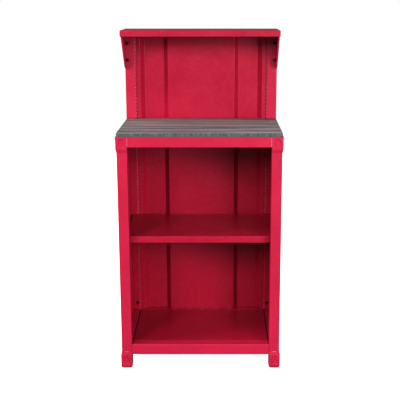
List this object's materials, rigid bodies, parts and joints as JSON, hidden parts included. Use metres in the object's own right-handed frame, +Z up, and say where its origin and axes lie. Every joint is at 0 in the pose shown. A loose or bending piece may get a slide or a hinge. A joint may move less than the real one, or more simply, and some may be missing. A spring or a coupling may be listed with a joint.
{
  "type": "workbench cabinet",
  "caption": "Tall open workbench cabinet: welded tube frame with corner castings, corrugated panels, two shelves, wood-look worktop and an overhead shelf on a raised back.",
  "frame": {"origin": "centre of the footprint, on the floor under the foot glides", "axes": "+Z up along the height, the longest extent; the open front faces -Y and +Y is the depth, the shortest extent; +X is to the right seen from the front"},
  "size_m": [0.6096, 0.4064, 1.27],
  "materials": {
    "red_paint": "satin-gloss red powder coat over sheet and tube steel",
    "worktop_laminate": "weathered grey-brown wood-grain laminate over board, matt",
    "black_steel": "black oxide button-head bolts",
    "zinc_steel": "zinc-plated nuts, tapping screws and blind rivets",
    "black_plastic": "moulded black plastic glides"
  },
  "bodies": {
    "root": {"bottom_shelf": "red_paint", "bottom_shelf_bolts": "black_steel", "bottom_shelf_nuts": "zinc_steel", "foot_glides": "black_plastic", "front_bottom_rail": "red_paint", "front_left_foot_casting": "red_paint", "front_left_post": "red_paint", "front_left_top_casting": "red_paint", "front_right_foot_casting": "red_paint", "front_right_post": "red_paint", "front_right_top_casting": "red_paint", "front_top_rail": "red_paint", "gusset_bolts": "black_steel", "gusset_nuts": "zinc_steel", "left_bottom_side_rail": "red_paint", "left_gusset": "red_paint", "left_side_panel": "red_paint", "left_top_side_rail": "red_paint", "lower_back_panel": "red_paint", "mid_shelf": "red_paint", "mid_shelf_bolts": "black_steel", "mid_shelf_nuts": "zinc_steel", "overhead_shelf": "red_paint", "overhead_shelf_rivets": "zinc_steel", "rear_bottom_rail": "red_paint", "rear_left_foot_casting": "red_paint", "rear_left_post": "red_paint", "rear_left_top_casting": "red_paint", "rear_middle_rail": "red_paint", "rear_right_foot_casting": "red_paint", "rear_right_post": "red_paint", "rear_right_top_casting": "red_paint", "rear_top_rail": "red_paint", "right_bottom_side_rail": "red_paint", "right_gusset": "red_paint", "right_side_panel": "red_paint", "right_top_side_rail": "red_paint", "side_panel_bolts": "black_steel", "side_panel_nuts": "zinc_steel", "upper_back_panel": "red_paint", "worktop": "worktop_laminate", "worktop_screws": "zinc_steel"}
  },
  "joints": []
}
